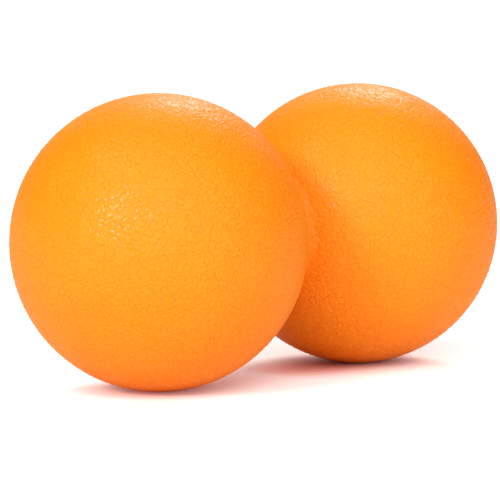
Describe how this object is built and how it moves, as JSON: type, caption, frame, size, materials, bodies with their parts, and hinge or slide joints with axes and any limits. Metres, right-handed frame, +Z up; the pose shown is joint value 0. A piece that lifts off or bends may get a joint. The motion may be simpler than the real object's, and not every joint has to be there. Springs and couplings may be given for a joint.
{
  "type": "peanut massage ball",
  "caption": "Peanut-shaped massage ball: soft grained balls on firm cores, joined by a dowel at a narrow waist groove that straddles the spine.",
  "frame": {"origin": "on the floor, midway between the two resting patches, under the middle of the waist", "axes": "+X along the long axis from the left ball to the right ball, +Y across, +Z up"},
  "size_m": [0.126, 0.063, 0.0628],
  "materials": {
    "skin": "satin moulded leather grain",
    "core": "matt moulded",
    "dowel": "plain moulded",
    "bond": "cured adhesive"
  },
  "bodies": {
    "root": {"left_skin": "skin", "right_skin": "skin", "left_core": "core", "right_core": "core", "waist_dowel": "dowel", "waist_bond": "bond"}
  },
  "joints": []
}
